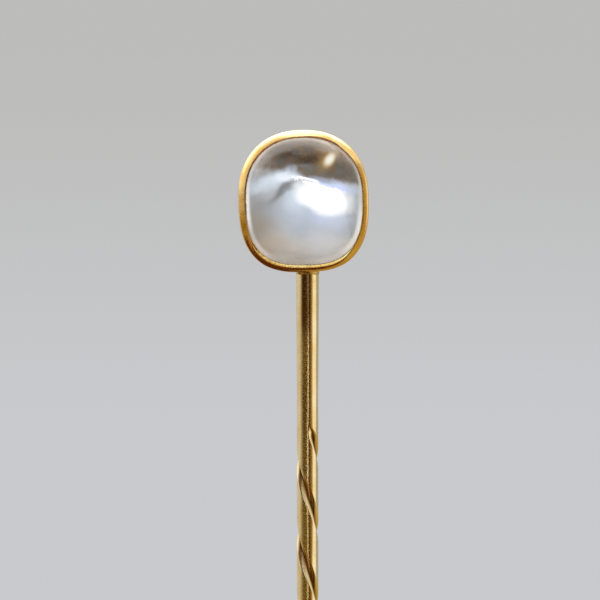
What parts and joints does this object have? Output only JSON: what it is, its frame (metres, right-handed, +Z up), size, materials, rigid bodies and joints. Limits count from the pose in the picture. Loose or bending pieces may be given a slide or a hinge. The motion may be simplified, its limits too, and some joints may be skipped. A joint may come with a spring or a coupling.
{
  "type": "stick pin",
  "caption": "Short gold stick pin: a cushion-shaped moonstone cabochon in a closed-back collet, on a round wire with a twisted grip and a long sharp point.",
  "frame": {"origin": "on the wire's axis, at the middle of the twisted grip that cloth holds", "axes": "+Z up the wire towards the head, -Y out of the stone's face, +Y out of the closed back, +X to the right of a viewer who faces the stone"},
  "size_m": [0.0073, 0.0053, 0.064],
  "materials": {
    "moonstone": "polished translucent moonstone with a milky blue-white sheen",
    "setting_gold": "polished yellow gold with fine hand-burnishing marks",
    "wire_gold": "drawn and polished pale yellow gold wire with fine lengthwise marks",
    "solder_gold": "gold solder, slightly dull"
  },
  "bodies": {
    "root": {"moonstone_cabochon": "moonstone", "collet_wall": "setting_gold", "bearing_ring": "setting_gold", "back_plate": "setting_gold", "stem": "wire_gold", "stem_solder": "solder_gold"}
  },
  "joints": []
}
